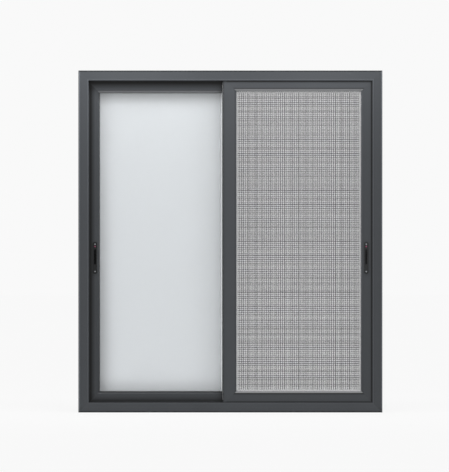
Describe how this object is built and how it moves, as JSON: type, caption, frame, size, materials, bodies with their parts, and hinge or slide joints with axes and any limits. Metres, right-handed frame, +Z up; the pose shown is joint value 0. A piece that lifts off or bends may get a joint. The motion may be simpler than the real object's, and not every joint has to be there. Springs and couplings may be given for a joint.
{
  "type": "horizontal sliding window",
  "caption": "Three-track sliding window in a mitred extruded frame, with two glazed sashes, a sliding insect screen and flush locks on the closing stiles.",
  "frame": {"origin": "middle of the underside of the sill, halfway through the depth of the frame", "axes": "+Z up, +X to the right as seen from the room, +Y from the room side with the insect screen to the outside"},
  "size_m": [1.4, 0.1225, 1.575],
  "materials": {
    "powder_coat": "satin anthracite powder coat on extruded aluminium",
    "lock_metal": "satin dark powder coat on cast zinc",
    "lock_black": "matt black moulded nylon",
    "indicator_red": "glossy dark red moulded plastic",
    "pale_glass": "pale frosted float glass",
    "spacer_bar": "satin mill finish",
    "black_rubber": "matt black seal rubber",
    "screen_cloth": "woven grey insect mesh",
    "pile": "dense grey pile",
    "rib_steel": "brushed stainless strip",
    "wheel_steel": "zinc plated steel",
    "guide_nylon": "moulded nylon",
    "weep_plastic": "moulded anthracite plastic"
  },
  "bodies": {
    "root": {"drain_covers": "weep_plastic", "frame_head": "powder_coat", "frame_left_jamb": "powder_coat", "frame_right_jamb": "powder_coat", "frame_sill": "powder_coat", "front_pile_seals": "pile", "left_sash_bottom_rail": "powder_coat", "left_sash_glass": "pale_glass", "left_sash_glass_gaskets": "black_rubber", "left_sash_glass_spacer": "spacer_bar", "left_sash_glazing_beads": "powder_coat", "left_sash_interlock": "powder_coat", "left_sash_lock_cup": "lock_black", "left_sash_lock_plate": "lock_metal", "left_sash_lock_stile": "powder_coat", "left_sash_meeting_stile": "powder_coat", "left_sash_rollers": "wheel_steel", "left_sash_top_rail": "powder_coat", "lock_buttons": "indicator_red", "rear_pile_seals": "pile", "right_sash_bottom_rail": "powder_coat", "right_sash_glass": "pale_glass", "right_sash_glass_gaskets": "black_rubber", "right_sash_glass_spacer": "spacer_bar", "right_sash_glazing_beads": "powder_coat", "right_sash_interlock": "powder_coat", "right_sash_lock_cup": "lock_black", "right_sash_lock_plate": "lock_metal", "right_sash_lock_stile": "powder_coat", "right_sash_meeting_stile": "powder_coat", "right_sash_rollers": "wheel_steel", "right_sash_top_rail": "powder_coat", "screen_bottom_rail": "powder_coat", "screen_edge_cover": "powder_coat", "screen_lock_cup": "lock_black", "screen_lock_plate": "lock_metal", "screen_lock_stile": "powder_coat", "screen_meeting_stile": "powder_coat", "screen_mesh": "screen_cloth", "screen_rollers": "wheel_steel", "screen_spline": "black_rubber", "screen_top_rail": "powder_coat", "sill_track_caps": "rib_steel", "top_guides": "guide_nylon"}
  },
  "joints": []
}
